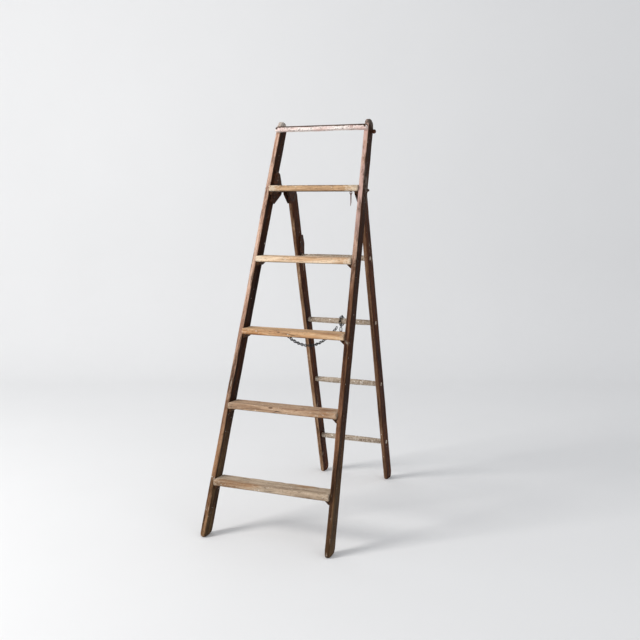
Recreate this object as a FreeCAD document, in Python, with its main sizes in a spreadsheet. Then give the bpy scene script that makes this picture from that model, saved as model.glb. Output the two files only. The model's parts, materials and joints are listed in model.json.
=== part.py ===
import FreeCAD, Part
import Sketcher
import math
import os

# A folding wooden step ladder: a front frame of two leaning stiles with five treads and a top
# rail, and a rear frame of two legs with four round rungs, hinged together behind the stiles.
# Millimetres, +Z up, X along the treads, front of the ladder towards -Y.

doc = FreeCAD.newDocument("StepLadder")
sheet = doc.addObject("Spreadsheet::Sheet", "dims")

DIMENSIONS = {
    # front frame
    "front_line": -551.34,       # y of the stiles' front arris on the floor
    "stile_lean": 19.87,        # degrees the front frame leans back
    "stile_splay": 2.245,       # degrees each stile closes in, within the frame's plane
    "stile_foot": 290.75,       # half the width over the stiles at the floor
    "stile_thick": 21.5,
    "stile_deep": 64.0,
    "stile_long": 1857.0,
    "stile_crown": 31.0,        # rounding of the stile's top
    "foot_round": 11.0,         # worn rounding of every foot's front corner
    "heel_round": 19.0,         # and of its back corner
    # treads
    "tread_first": 233.5,       # top of the lowest tread
    "tread_rise": 304.8,
    "tread_thick": 27.0,
    "tread_deep": 84.5,
    "tread_nose": 17.0,         # how far the nosing stands in front of the stiles
    "nose_round": 7.0,
    "cleat_wide": 22.0,
    "cleat_high": 17.0,
    "cleat_long": 60.0,
    # top rail
    "rail_low": 1793.0,         # along the stiles
    "rail_high": 23.0,
    "rail_deep": 20.0,
    "rail_long": 440.0,
    "rail_short": 2.0,          # its right end is cut this much short
    "rail_point": 9.0,
    "rail_round": 4.0,
    # rear frame
    "leg_line": 1035.5,         # from the stiles' front arris to the legs' front arris, on the floor
    "leg_lean": 15.47,
    "leg_span": 362.0,          # over the legs
    "leg_thick": 19.0,
    "leg_deep": 66.0,
    "leg_long": 1489.0,
    "leg_crown": 28.0,
    "rung_first": 201.0,        # height of the lowest rung's axis
    "rung_rise": 308.0,
    "rung_belly": 14.0,         # radius at the middle of a rung
    "rung_neck": 12.5,          # radius beside the leg
    "rung_tenon": 9.0,
    # hinge
    "pivot_back": 98.0,         # pivot axis behind the stiles' front faces
    "pivot_up": 1556.0,         # and along them from the floor
    "rod_radius": 5.0,
    "rod_long": 444.0,
    "rod_play": 0.06,
    "lug_radius": 14.0,
    "plate_thick": 6.0,
    "cheek_thick": 4.0,
    "sleeve_radius": 8.5,
    "nut_flats": 17.0,
    "nut_high": 7.0,
    "bolt_radius": 3.0,
    "bolt_head": 6.5,
    # chain
    "link_pitch": 17.5,
    "link_wire": 1.6,
    "link_wide": 5.6,           # half the width of a link, to the wire's centre line
    "chain_low_z": 737.87,
    "chain_low_y": 607.63,      # behind the stiles' front line
    "chain_curve": 465.0,       # the catenary's parameter
}
for row, (alias, value) in enumerate(DIMENSIONS.items(), start=1):
    sheet.set("A%d" % row, alias)
    sheet.set("B%d" % row, str(value))
    sheet.setAlias("B%d" % row, alias)
doc.recompute()


def dim(alias):
    """The value of a named cell."""
    return float(sheet.get(alias))


def sind(degrees):
    return math.sin(math.radians(degrees))


def cosd(degrees):
    return math.cos(math.radians(degrees))


def tand(degrees):
    return math.tan(math.radians(degrees))


TREADS = 5
RUNGS = 4
RUNG_FULL = 0.45                 # share of a rung's half length that is at full thickness
SIDES = (("left", -1), ("right", 1))

# Nails, screws, bolts and the stud. A pair of numbers is how far behind the board's front face
# and how far up along it.
CLEARANCE = 1.0                  # a drill starts or ends this far outside the wood
NEAR = 1.0                       # an edge this close to a corner is the one meant
NAIL_RADIUS = 1.8
NAIL_BACKS = (18.0, 46.0)        # a tread's two nails, behind the stile's front face
TOP_NAIL_BACKS = (7.0, 17.0)     # the top tread's, in front of the hinge plate
NAIL_LONG = 52.0
NAIL_HEAD = 4.2
NAIL_HEAD_HIGH = 1.4
SCREW_RADIUS = 2.2
SCREW_LONG = 48.0
SCREW_RINGS = ((2.76, 2.0), (4.6, 0.8), (4.6, 0.0))      # (radius, height) up a head
BOLT_DOME = ((0.5, 3.2), (0.85, 2.2))      # (share of the head's radius, height) up a head
RIVET_DOME = ((0.5, 2.6), (0.85, 1.8))
BOLT_NUT = 4.5
BOLT_NUT_SHARE = 0.95            # a nut's radius, as a share of the head's
BOLT_END = 2.0                   # bare thread beyond the nut
KNOB_BALL = 9.5
KNOB_RINGS = ((0.45, 2.0), (0.8, 1.75), (1.0, 1.2), (0.92, 0.7), (0.6, 0.3), (0.75, 0.0))
KNOB_BACK = 43.0
KNOB_UP = 1805.0
KNOB_SHANK = 16.0
PLATE_BOLTS = ((40.0, 1604.0), (40.0, 1508.0))
IRON_PIN = (20.0, 1447.0)
STRAP_SCREWS = (1373.0, 1438.0)
STRAP_SCREW_LONG = 30.0
STRAP_SCREW_RINGS = ((3.4, 5.0), (6.0, 3.4), (6.4, 0.0))

# Hinge irons. A cheek's corners are (behind the leg's front face, up along the leg).
PLATE_FRONT = 22.0               # the hinge plate's front edge, behind the stile's front face
PLATE_BELOW = 76.0               # its lowest edge, below the pivot
PLATE_ABOVE = 68.0               # and its highest, above
CHEEK = (
    (-4.0, 1425.0), (42.0, 1434.0), (42.0, 1468.0), (-4.0, 1503.0), (-32.0, 1503.0), (-32.0, 1474.0),
)
STRAP_THICK = 3.0
STRAP_LOW = 1362.0
STRAP_HIGH = 1452.0
STRAP_INSET = 2.0                # the strap is this much narrower than the leg on each side
SLEEVE_GAP = 0.5                 # end play between a sleeve and the leg's iron
PLATE_GAP = 0.6                  # and between a sleeve and the stile's plate
NUT_GAP = 0.7
ROD_CHAMFER = 1.0
PLATE_NOSE = 12.0
PLATE_INSET = 2.0                # the plate bends this far inside the stile's back face
EAR_ROUND = 11.5
BRACE_THICK = 4.0
BRACE_HALF = 17.0
BRACE_BOTTOM = 26.0
BRACE_TOP = 96.0
BRACE_PLAY = 0.6
BRACE_BEHIND = 8.0               # how far its widest corner stands out behind the leg
BRACE_TIP_BEHIND = 3.0           # and its top back corner
BRACE_TIP_AHEAD = 4.0            # its top front corner, behind the rung's axis
BRACE_KNEE = 0.55                # share of its height where the widest corner is
BRACE_SHOULDER = 0.4             # and where its front edge starts to slope

# Cleats, hook, eyes and chain.
CLEAT_SETBACK = 4.0
CLEAT_TOE = 3.0                  # thickness left at a cleat's lower edge
CHAIN_TREAD = 2
CHAIN_RUNG = 2
EYE_WIRE = 1.5
EYE_RING = 5.0
EYE_SHANK = 14.0
EYE_DROP = 7.0
HOOK_X = 172.0
HOOK_BACK = 532.0                # behind the stiles' front line on the floor
CHAIN_BACK = 352.0
HOOK_LOOP = 4.5
HOOK_PRONG = 30.0
HOOK_TIP = 16.0
HOOK_THICK = 2.6
HOOK_WAIST = 2.0
HOOK_POINT = 0.9
HOOK_SINK = 0.4                  # the prong starts this far inside the loop's wire
HOOK_PLAY = 0.15                 # slack between the hook's loop and its eye
HOOK_TIP_WAY = (0.0, -0.32, -0.95)
CHAIN_START = 3.2                # the chain starts this far behind its eye
CHAIN_START_X = -43.0
CHAIN_END_X = -8.0
STRANDS = 7
LINKS_PER_STRAND = 4
LINK_SLACK = 0.12
LOOP_LINKS = 8
LOOP_TURN = 20.0
LOOP_ASIDE = 16.0                # the loop sits beside the last link, clear of it
TAIL_LINKS = 2
TAIL_OFFSET = (0.0, -10.0, -30.6)          # from the loop's middle to the spare links' top

LEAN = dim("stile_lean")
SPLAY = dim("stile_splay")
LEG_LEAN = dim("leg_lean")
FRONT_Y = dim("front_line")
REAR_Y = FRONT_Y + dim("leg_line")
X_AXIS = FreeCAD.Vector(1, 0, 0)
Y_AXIS = FreeCAD.Vector(0, 1, 0)
Z_AXIS = FreeCAD.Vector(0, 0, 1)

# The front frame's own plane: u across, w back through the stiles, v up along them.
FRONT = FreeCAD.Placement(FreeCAD.Vector(0, FRONT_Y, 0), FreeCAD.Rotation(X_AXIS, -LEAN))
# The rear frame's own plane, the same way round.
REAR = FreeCAD.Placement(FreeCAD.Vector(0, REAR_Y, 0), FreeCAD.Rotation(X_AXIS, LEG_LEAN))

parts = []


def keep(obj, label):
    """Register a finished sub-part under its own name."""
    obj.Label = label
    parts.append(obj)
    return obj


def front_point(u, w, v):
    return FRONT.multVec(FreeCAD.Vector(u, w, v))


def rear_point(u, w, v):
    return REAR.multVec(FreeCAD.Vector(u, w, v))


def front_direction(u, w, v):
    return FRONT.Rotation.multVec(FreeCAD.Vector(u, w, v))


PIVOT = front_point(0, dim("pivot_back"), dim("pivot_up"))
REAR_INWARD = REAR.Rotation.multVec(Y_AXIS * -1)      # forwards into a leg's back face


def plane_of(body, role):
    for feature in body.Origin.OriginFeatures:
        if feature.Role == role:
            return feature
    raise ValueError(role)


def new_body(name, placement=None):
    body = doc.addObject("PartDesign::Body", name)
    if placement is not None:
        body.Placement = placement
    return body


def outline(body, name, role, corners, offset=0.0):
    """A closed polygon sketch; each corner is a pair of expressions or numbers."""
    sketch = body.newObject("Sketcher::SketchObject", name)
    sketch.AttachmentSupport = [(plane_of(body, role), "")]
    sketch.MapMode = "FlatFace"
    sketch.AttachmentOffset = FreeCAD.Placement(FreeCAD.Vector(0, 0, offset), FreeCAD.Rotation())
    points = []
    for corner in corners:
        x_value = evaluate(corner[0])
        y_value = evaluate(corner[1])
        points.append(FreeCAD.Vector(x_value, y_value, 0))
    count = len(points)
    for index in range(count):
        sketch.addGeometry(Part.LineSegment(points[index], points[(index + 1) % count]), False)
    for index in range(count):
        sketch.addConstraint(Sketcher.Constraint("Coincident", index, 2, (index + 1) % count, 1))
    for index in range(count):
        for kind, axis in (("DistanceX", 0), ("DistanceY", 1)):
            value = points[index][axis]
            which = sketch.addConstraint(Sketcher.Constraint(kind, -1, 1, index, 1, value))
            label = "%s_%d" % ("px" if axis == 0 else "py", index)
            sketch.renameConstraint(which, label)
            if isinstance(corners[index][axis], str):
                sketch.setExpression("Constraints." + label, corners[index][axis])
    return sketch


def evaluate(entry):
    """The number that an expression over the sheet stands for, at its present values."""
    if not isinstance(entry, str):
        return float(entry)
    return float(sheet.evalExpression(entry.replace("dims.", "")))


def pad(body, sketch, length, midplane=False, reverse=False):
    feature = body.newObject("PartDesign::Pad", sketch.Name + "_pad")
    feature.Profile = sketch
    if isinstance(length, str):
        feature.setExpression("Length", length)
    else:
        feature.Length = length
    feature.Midplane = midplane
    feature.Reversed = reverse
    sketch.Visibility = False
    doc.recompute()
    return feature


def edge_names(shape, test):
    names = []
    for index, edge in enumerate(shape.Edges, start=1):
        if test(edge):
            names.append("Edge%d" % index)
    return names


def round_edges(body, base, name, radius, test):
    """Fillet the edges of the base feature that pass the test."""
    feature = body.newObject("PartDesign::Fillet", name)
    feature.Base = (base, edge_names(base.Shape, test))
    if isinstance(radius, str):
        feature.setExpression("Radius", radius)
    else:
        feature.Radius = radius
    doc.recompute()
    return feature


def runs_along(edge, direction):
    if len(edge.Vertexes) != 2:
        return False
    line = edge.Vertexes[1].Point - edge.Vertexes[0].Point
    return line.Length > 1e-6 and abs(line.normalize().dot(direction)) > 0.99


def drill(label, start, direction, radius, length):
    """A cylinder to cut a round hole with."""
    tool = doc.addObject("Part::Cylinder", label + "_hole")
    tool.Radius = radius
    tool.Height = length
    tool.Placement = FreeCAD.Placement(start, FreeCAD.Rotation(Z_AXIS, direction))
    return tool


def stile_space(label, side):
    """A block that fills everything outside one stile's inner face, to trim a board's end with."""
    tool = doc.addObject("Part::Box", label + "_end")
    reach = 300.0
    tool.Length = reach
    tool.Width = 2 * reach
    tool.Height = dim("stile_long") + reach
    corner = FreeCAD.Vector(0 if side > 0 else -reach, -reach, 0)
    inner = stile_placement(side, dim("stile_thick"))
    tool.Placement = inner.multiply(FreeCAD.Placement(corner, FreeCAD.Rotation()))
    return tool


def plate_notch(label, side):
    """A block where the hinge plate lies, to notch the top tread and its cleats with."""
    tool = doc.addObject("Part::Box", label + "_notch")
    thick = dim("plate_thick")
    tool.Length = thick
    tool.Width = 4 * PLATE_FRONT
    tool.Height = 2 * PLATE_BELOW
    corner = FreeCAD.Vector(-thick if side > 0 else 0, PLATE_FRONT, plate_middle() - PLATE_BELOW)
    face = stile_placement(side, dim("stile_thick"))
    tool.Placement = face.multiply(FreeCAD.Placement(corner, FreeCAD.Rotation()))
    return tool


def plate_middle():
    """How far up the stile's own frame the pivot stands."""
    return (dim("pivot_up") - dim("stile_thick") * sind(SPLAY)) / cosd(SPLAY)


def trimmed(solid, label, tools):
    """The solid less the tools."""
    if len(tools) == 1:
        cutter = tools[0]
    else:
        cutter = doc.addObject("Part::MultiFuse", label + "_holes")
        cutter.Shapes = tools
    result = doc.addObject("Part::Cut", label + "_drilled")
    result.Base = solid
    result.Tool = cutter
    doc.recompute()
    return result


# ---------------------------------------------------------------- the front frame's boards

def stile_placement(side, inward=0.0):
    """Stile frame on the outer face, or that far inside it: x outwards on the right, w back, v up."""
    lift = dim("stile_thick") * sind(SPLAY)
    splay = FreeCAD.Placement(FreeCAD.Vector(side * dim("stile_foot"), 0, lift),
                              FreeCAD.Rotation(Y_AXIS, -side * SPLAY))
    step = FreeCAD.Placement(FreeCAD.Vector(-side * inward, 0, 0), FreeCAD.Rotation())
    return FRONT.multiply(splay).multiply(step)


def tread_top(number):
    return dim("tread_first") + number * dim("tread_rise")


HOOK_EYE = FreeCAD.Vector(HOOK_X, FRONT_Y + HOOK_BACK, tread_top(TREADS - 1) - dim("tread_thick"))
CHAIN_EYE = FreeCAD.Vector(
    CHAIN_START_X, FRONT_Y + CHAIN_BACK, tread_top(CHAIN_TREAD) - dim("tread_thick"))


def nail_points():
    """Where the tread nails cross a stile's outer face, in the stile's own frame."""
    spots = []
    lift = dim("stile_thick") * sind(SPLAY)
    for number in range(TREADS):
        middle = tread_top(number) - dim("tread_thick") / 2
        for back in (TOP_NAIL_BACKS if number == TREADS - 1 else NAIL_BACKS):
            v = (middle + back * sind(LEAN)) / cosd(LEAN)
            spots.append((back, (v - lift) / cosd(SPLAY)))
    return spots


def rail_screw_axis(side):
    """Start on the rail's front face and direction back into the stile."""
    v = dim("rail_low") + dim("rail_high") / 2
    half = dim("stile_foot") - dim("stile_thick") / 2 - v * tand(SPLAY)
    return front_point(side * half, -dim("rail_deep"), v), front_direction(0, 1, 0)


def nail_axis(side, back, v):
    """Start on the stile's outer face and direction inwards, in the part's frame."""
    place = stile_placement(side)
    outward = place.Rotation.multVec(FreeCAD.Vector(side, 0, 0))
    start = place.multVec(FreeCAD.Vector(0, back, v))
    return start, outward.negative()


def make_stile(side_name, side):
    body = new_body("stile_%s_body" % side_name, stile_placement(side))
    deep = "dims.stile_deep"
    corners = [
        (0.0, 0.0),
        (deep, "dims.stile_deep * tan(dims.stile_lean * 1deg)"),
        (deep, "dims.stile_long"),
        (0.0, "dims.stile_long"),
    ]
    sketch = outline(body, "stile_%s_side" % side_name, "YZ_Plane", corners)
    board = pad(body, sketch, "dims.stile_thick", reverse=(side > 0))
    middle = dim("stile_long") / 2
    half = dim("stile_deep") / 2

    def across(edge):
        return runs_along(edge, X_AXIS)

    crown = round_edges(body, board, "crown_%s" % side_name, "dims.stile_crown",
                        lambda e: across(e) and e.CenterOfMass.z > middle)
    toe = round_edges(body, crown, "toe_%s" % side_name, "dims.foot_round",
                      lambda e: across(e) and e.CenterOfMass.z < middle and e.CenterOfMass.y < half)
    round_edges(body, toe, "heel_%s" % side_name, "dims.heel_round",
                lambda e: across(e) and e.CenterOfMass.z < middle and e.CenterOfMass.y > half)
    label = "stile_" + side_name
    tools = []
    for back, v in nail_points():
        start, inward = nail_axis(side, back, v)
        tools.append(drill(label, start, inward, NAIL_RADIUS, dim("stile_thick") + CLEARANCE))
    for back, v in PLATE_BOLTS:
        start, inward = nail_axis(side, back, v)
        tools.append(drill(label, start, inward, dim("bolt_radius"), dim("stile_thick") + CLEARANCE))
    start, backward = rail_screw_axis(side)
    tools.append(drill(label, start, backward, SCREW_RADIUS, SCREW_LONG))
    if side > 0:
        start, inward = nail_axis(side, KNOB_BACK, KNOB_UP)
        tools.append(drill(label, start, inward, dim("bolt_radius"), KNOB_SHANK))
    return trimmed(body, label, tools)


def top_rail():
    """The hand rail, laid across the fronts of the stiles, its left end cut to a blunt point."""
    body = new_body("top_rail_body", FRONT)
    corners = [
        ("-dims.rail_long / 2", "-dims.rail_deep / 2"),
        ("-dims.rail_long / 2 + dims.rail_point", "-dims.rail_deep"),
        ("dims.rail_long / 2 - dims.rail_short", "-dims.rail_deep"),
        ("dims.rail_long / 2 - dims.rail_short", 0.0),
        ("-dims.rail_long / 2 + dims.rail_point", 0.0),
    ]
    sketch = outline(body, "top_rail_plan", "XY_Plane", corners, dim("rail_low"))
    bar = pad(body, sketch, "dims.rail_high")
    round_edges(body, bar, "top_rail_arris", "dims.rail_round",
                lambda e: runs_along(e, X_AXIS) and e.CenterOfMass.y < -dim("rail_deep") + NEAR)
    tools = []
    for _, side in SIDES:
        start, backward = rail_screw_axis(side)
        tools.append(drill("top_rail", start, backward, SCREW_RADIUS, dim("rail_deep") + CLEARANCE))
    return trimmed(body, "top_rail", tools)


def make_tread(number):
    """A level board between the stiles, its round nosing in front of them."""
    name = "tread_%d" % (number + 1)
    body = new_body(name + "_body")
    top = "(dims.tread_first + %d * dims.tread_rise)" % number
    nose = "dims.front_line + %s * tan(dims.stile_lean * 1deg) - dims.tread_nose" % top
    back = nose + " + dims.tread_deep"
    corners = [
        (nose, top + " - dims.tread_thick"),
        (back, top + " - dims.tread_thick"),
        (back, top),
        (nose, top),
    ]
    sketch = outline(body, name + "_side", "YZ_Plane", corners)
    board = pad(body, sketch, "2 * dims.stile_foot", midplane=True)
    front = evaluate(nose)
    round_edges(body, board, name + "_nosing", "dims.nose_round",
                lambda e: runs_along(e, X_AXIS) and e.CenterOfMass.y < front + NEAR)
    tools = []
    for _, side in SIDES:
        tools.append(stile_space(name, side))
        for back, v in nail_points()[2 * number:2 * number + 2]:
            start, inward = nail_axis(side, back, v)
            tools.append(drill(name, start, inward, NAIL_RADIUS, NAIL_LONG))
    if number == TREADS - 1:
        tools.append(drill(name, HOOK_EYE, Z_AXIS, EYE_WIRE, EYE_SHANK))
        for _, side in SIDES:
            tools.append(plate_notch(name, side))
    if number == CHAIN_TREAD:
        tools.append(drill(name, CHAIN_EYE, Z_AXIS, EYE_WIRE, EYE_SHANK))
    return trimmed(body, name, tools)


def make_cleat(number, side_name, side):
    """A three-cornered block in the corner below a tread's end."""
    name = "cleat_%s_%d" % (side_name, number + 1)
    under = tread_top(number) - dim("tread_thick")
    start = FRONT_Y + under * tand(LEAN) + CLEAT_SETBACK
    corner = half_gap(start, under)
    body = new_body(name + "_body", FreeCAD.Placement(
        FreeCAD.Vector(side * corner, start, under), FreeCAD.Rotation()))
    proud = 5.0                  # the end is made this much too long, then trimmed to the stile
    corners = [
        ("%d * -dims.cleat_wide" % side, 0.0),
        (side * proud, 0.0),
        (side * proud, "-dims.cleat_high"),
        (side * -CLEAT_TOE, "-dims.cleat_high"),
    ]
    sketch = outline(body, name + "_end", "XZ_Plane", corners)
    pad(body, sketch, "dims.cleat_long", reverse=True)
    tools = [stile_space(name, side)]
    if number == TREADS - 1:
        tools.append(plate_notch(name, side))
    return trimmed(body, name, tools)


def half_gap(y, z):
    """Half the clear width between the stiles at a point of the part's frame."""
    flat = FRONT.inverse().multVec(FreeCAD.Vector(0, y, z))
    lift = dim("stile_thick") * sind(SPLAY)
    return dim("stile_foot") - dim("stile_thick") / cosd(SPLAY) - (flat.z - lift) * tand(SPLAY)


# ---------------------------------------------------------------- turned and forged fastenings

def turned(name, rings, placement):
    """A solid of revolution about its own Z: rings are (radius, height) pairs, closed on the axis."""
    body = new_body(name, placement)
    low = rings[0][1]
    high = rings[-1][1]
    corners = [(0.0, low)] + [(r, z) for r, z in rings] + [(0.0, high)]
    sketch = outline(body, name + "_half", "XZ_Plane", corners)
    feature = body.newObject("PartDesign::Revolution", name + "_turned")
    feature.Profile = sketch
    feature.ReferenceAxis = (sketch, ["V_Axis"])
    feature.Angle = 360
    sketch.Visibility = False
    doc.recompute()
    return body


def group(label, members):
    """Several like pieces kept as separate solids of one node."""
    bundle = doc.addObject("Part::Compound", label + "_group")
    bundle.Links = members
    doc.recompute()
    return bundle


def along(start, direction):
    return FreeCAD.Placement(start, FreeCAD.Rotation(Z_AXIS, direction))


def head_rings(table, radius=1.0, height=1.0):
    """The rings of a head that stands out of its seat, from a table of (radius, height) steps."""
    return [(radius * share, -height * high) for share, high in table]


def make_nails(side_name, side):
    members = []
    for index, (back, v) in enumerate(nail_points()):
        start, inward = nail_axis(side, back, v)
        rings = [(NAIL_HEAD, -NAIL_HEAD_HIGH), (NAIL_HEAD, 0.0), (NAIL_RADIUS, 0.0),
                 (NAIL_RADIUS, NAIL_LONG - 2 * CLEARANCE)]
        members.append(turned("nail_%s_%d" % (side_name, index + 1), rings, along(start, inward)))
    return group("tread_nails_" + side_name, members)


def make_rail_screws():
    members = []
    for side_name, side in SIDES:
        start, backward = rail_screw_axis(side)
        rings = head_rings(SCREW_RINGS)
        rings += [(SCREW_RADIUS, 0.0), (SCREW_RADIUS, SCREW_LONG - CLEARANCE)]
        members.append(turned("rail_screw_" + side_name, rings, along(start, backward)))
    return group("rail_screws", members)


def make_knob():
    """A ball-headed stud on the right stile, just below the top rail."""
    start, inward = nail_axis(1, KNOB_BACK, KNOB_UP)
    shank = dim("bolt_radius")
    rings = head_rings(KNOB_RINGS, KNOB_BALL, KNOB_BALL)
    rings += [(shank, 0.0), (shank, KNOB_SHANK - CLEARANCE)]
    return turned("rail_knob_body", rings, along(start, inward))


# ---------------------------------------------------------------- the hinge

def rod_hole(name):
    """A cylinder as wide as the ladder, to bore a running fit for the pivot rod with."""
    half = dim("stile_foot")
    return drill(name, PIVOT - X_AXIS * half, X_AXIS, dim("rod_radius") + dim("rod_play"), 2 * half)


def make_plate(side_name, side):
    """The stile's hinge plate: a three-cornered lug standing out behind the stile."""
    name = "hinge_plate_" + side_name
    body = new_body(name + "_body", stile_placement(side, dim("stile_thick")))
    up = plate_middle()
    back = dim("pivot_back")
    reach = dim("lug_radius")
    knee = dim("stile_deep") - PLATE_INSET
    corners = [
        (PLATE_FRONT, up - PLATE_BELOW),
        (knee, up - PLATE_BELOW),
        (back + reach, up - reach),
        (back + reach, up + reach),
        (knee, up + PLATE_ABOVE),
        (PLATE_FRONT, up + PLATE_ABOVE),
    ]
    sketch = outline(body, name + "_side", "YZ_Plane", corners)
    plate = pad(body, sketch, "dims.plate_thick", reverse=(side > 0))
    round_edges(body, plate, name + "_nose", PLATE_NOSE,
                lambda e: runs_along(e, X_AXIS) and e.CenterOfMass.y > back)
    tools = [rod_hole(name)]
    for bolt_back, v in PLATE_BOLTS:
        start, inward = nail_axis(side, bolt_back, v)
        through = dim("stile_thick") + 2 * dim("plate_thick")
        tools.append(drill(name, start, inward, dim("bolt_radius"), through))
    return trimmed(body, name, tools)


def make_bolts(side_name, side):
    """Round-headed bolts through the stile and the hinge plate, with their nuts."""
    members = []
    grip = dim("stile_thick") + dim("plate_thick")
    for index, (back, v) in enumerate(PLATE_BOLTS):
        start, inward = nail_axis(side, back, v)
        head = dim("bolt_head")
        shank = dim("bolt_radius")
        nut = grip + BOLT_NUT
        across = head * BOLT_NUT_SHARE
        rings = head_rings(BOLT_DOME, head)
        rings += [(head, 0.0), (shank, 0.0), (shank, grip), (across, grip), (across, nut)]
        rings += [(shank, nut), (shank, nut + BOLT_END)]
        members.append(turned("plate_bolt_%s_%d" % (side_name, index + 1), rings, along(start, inward)))
    return group("hinge_bolts_" + side_name, members)


def make_leg_iron(side_name, side):
    """A channel of strap iron over the leg's top: front plate and two cheeks with pivot ears."""
    name = "leg_iron_" + side_name
    body = new_body(name + "_body", REAR)
    thick = dim("cheek_thick")
    outer = dim("leg_span") / 2
    inner = outer - dim("leg_thick")
    low = CHEEK[0][1]
    high = dim("leg_long") - dim("leg_crown")
    front = [(-thick, low), (0.0, low), (0.0, high), (-thick, high)]
    web = outline(body, name + "_web", "YZ_Plane", front, side * inner)
    pad(body, web, "dims.leg_thick", reverse=(side < 0))
    out = outline(body, name + "_out", "YZ_Plane", CHEEK, side * outer)
    pad(body, out, "dims.cheek_thick", reverse=(side < 0))
    inn = outline(body, name + "_in", "YZ_Plane", CHEEK, side * inner)
    last = pad(body, inn, "dims.cheek_thick", reverse=(side > 0))
    ear = CHEEK[4]
    round_edges(body, last, name + "_ear", EAR_ROUND,
                lambda e: (runs_along(e, X_AXIS) and e.CenterOfMass.y < ear[0] + NEAR
                           and e.CenterOfMass.z > ear[1] - NEAR))
    tools = [rod_hole(name)]
    start = rear_point(side * (outer + 2 * thick), IRON_PIN[0], IRON_PIN[1])
    through = dim("leg_thick") + 4 * thick
    tools.append(drill(name, start, X_AXIS * -side, dim("bolt_radius"), through))
    return trimmed(body, name, tools)


def make_iron_rivet(side_name, side):
    """The rivet that holds a leg iron to its leg."""
    outer = dim("leg_span") / 2 + dim("cheek_thick")
    grip = dim("leg_thick") + 2 * dim("cheek_thick")
    head = dim("bolt_head")
    shank = dim("bolt_radius")
    start = rear_point(side * outer, IRON_PIN[0], IRON_PIN[1])
    rings = head_rings(RIVET_DOME, head) + [(head, 0.0), (shank, 0.0), (shank, grip), (head, grip)]
    for share, high in reversed(RIVET_DOME):
        rings.append((head * share, grip + high))
    return turned("iron_rivet_%s_body" % side_name, rings, along(start, X_AXIS * -side))


def make_strap(side_name, side):
    """A flat strap down the back of the leg below the iron."""
    name = "leg_strap_" + side_name
    body = new_body(name + "_body", REAR)
    outer = dim("leg_span") / 2
    back = dim("leg_deep")
    face = back + STRAP_THICK
    corners = [(back, STRAP_LOW), (face, STRAP_LOW), (face, STRAP_HIGH), (back, STRAP_HIGH)]
    sketch = outline(body, name + "_side", "YZ_Plane", corners, side * (outer - STRAP_INSET))
    pad(body, sketch, dim("leg_thick") - 2 * STRAP_INSET, reverse=(side > 0))
    tools = []
    for up in STRAP_SCREWS:
        start = rear_point(side * (outer - dim("leg_thick") / 2), face + CLEARANCE, up)
        tools.append(drill(name, start, REAR_INWARD, SCREW_RADIUS, STRAP_THICK + 2 * CLEARANCE))
    return trimmed(body, name, tools)


def make_strap_screws(side_name, side):
    """Round-headed coach screws through the strap into the leg."""
    members = []
    for index, up in enumerate(STRAP_SCREWS):
        across = side * (dim("leg_span") - dim("leg_thick")) / 2
        start = rear_point(across, dim("leg_deep") + STRAP_THICK, up)
        rings = head_rings(STRAP_SCREW_RINGS) + [(SCREW_RADIUS, 0.0), (SCREW_RADIUS, STRAP_SCREW_LONG)]
        placement = along(start, REAR_INWARD)
        members.append(turned("strap_screw_%s_%d" % (side_name, index + 1), rings, placement))
    return group("strap_screws_" + side_name, members)


def make_rod():
    rod = dim("rod_radius")
    half = dim("rod_long") / 2
    edge = ROD_CHAMFER
    rings = [(rod - edge, -half), (rod, edge - half), (rod, half - edge), (rod - edge, half)]
    return turned("pivot_rod_body", rings, along(PIVOT, X_AXIS))


def make_sleeve(side_name, side):
    """A spacer tube on the rod between the stile's plate and the leg's iron."""
    start = dim("leg_span") / 2 + dim("cheek_thick") + SLEEVE_GAP
    end = half_gap(PIVOT.y, PIVOT.z) - dim("plate_thick") - PLATE_GAP
    tube = turned("pivot_sleeve_%s_body" % side_name,
                  [(dim("sleeve_radius"), start), (dim("sleeve_radius"), end)],
                  along(PIVOT, X_AXIS * side))
    return trimmed(tube, "pivot_sleeve_" + side_name, [rod_hole("pivot_sleeve_" + side_name)])


def make_pivot_nuts():
    """A six-sided nut on each end of the rod."""
    members = []
    radius = dim("nut_flats") / 2 / cosd(30)
    hexagon = [(radius * cosd(60 * k), radius * sind(60 * k)) for k in range(6)]
    start = half_gap(PIVOT.y, PIVOT.z) + NUT_GAP
    for side_name, side in SIDES:
        name = "pivot_nut_" + side_name
        body = new_body(name + "_body", along(PIVOT + X_AXIS * side * start, X_AXIS * side))
        pad(body, outline(body, name + "_flats", "XY_Plane", hexagon), "dims.nut_high")
        members.append(trimmed(body, name, [rod_hole(name)]))
    return group("pivot_nuts", members)


# ---------------------------------------------------------------- the rear frame

def rung_point(number):
    """The middle of a rung's axis, in the rear frame's plane."""
    w = dim("leg_deep") / 2
    z = dim("rung_first") + number * dim("rung_rise")
    return w, (z - w * sind(LEG_LEAN)) / cosd(LEG_LEAN)


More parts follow.
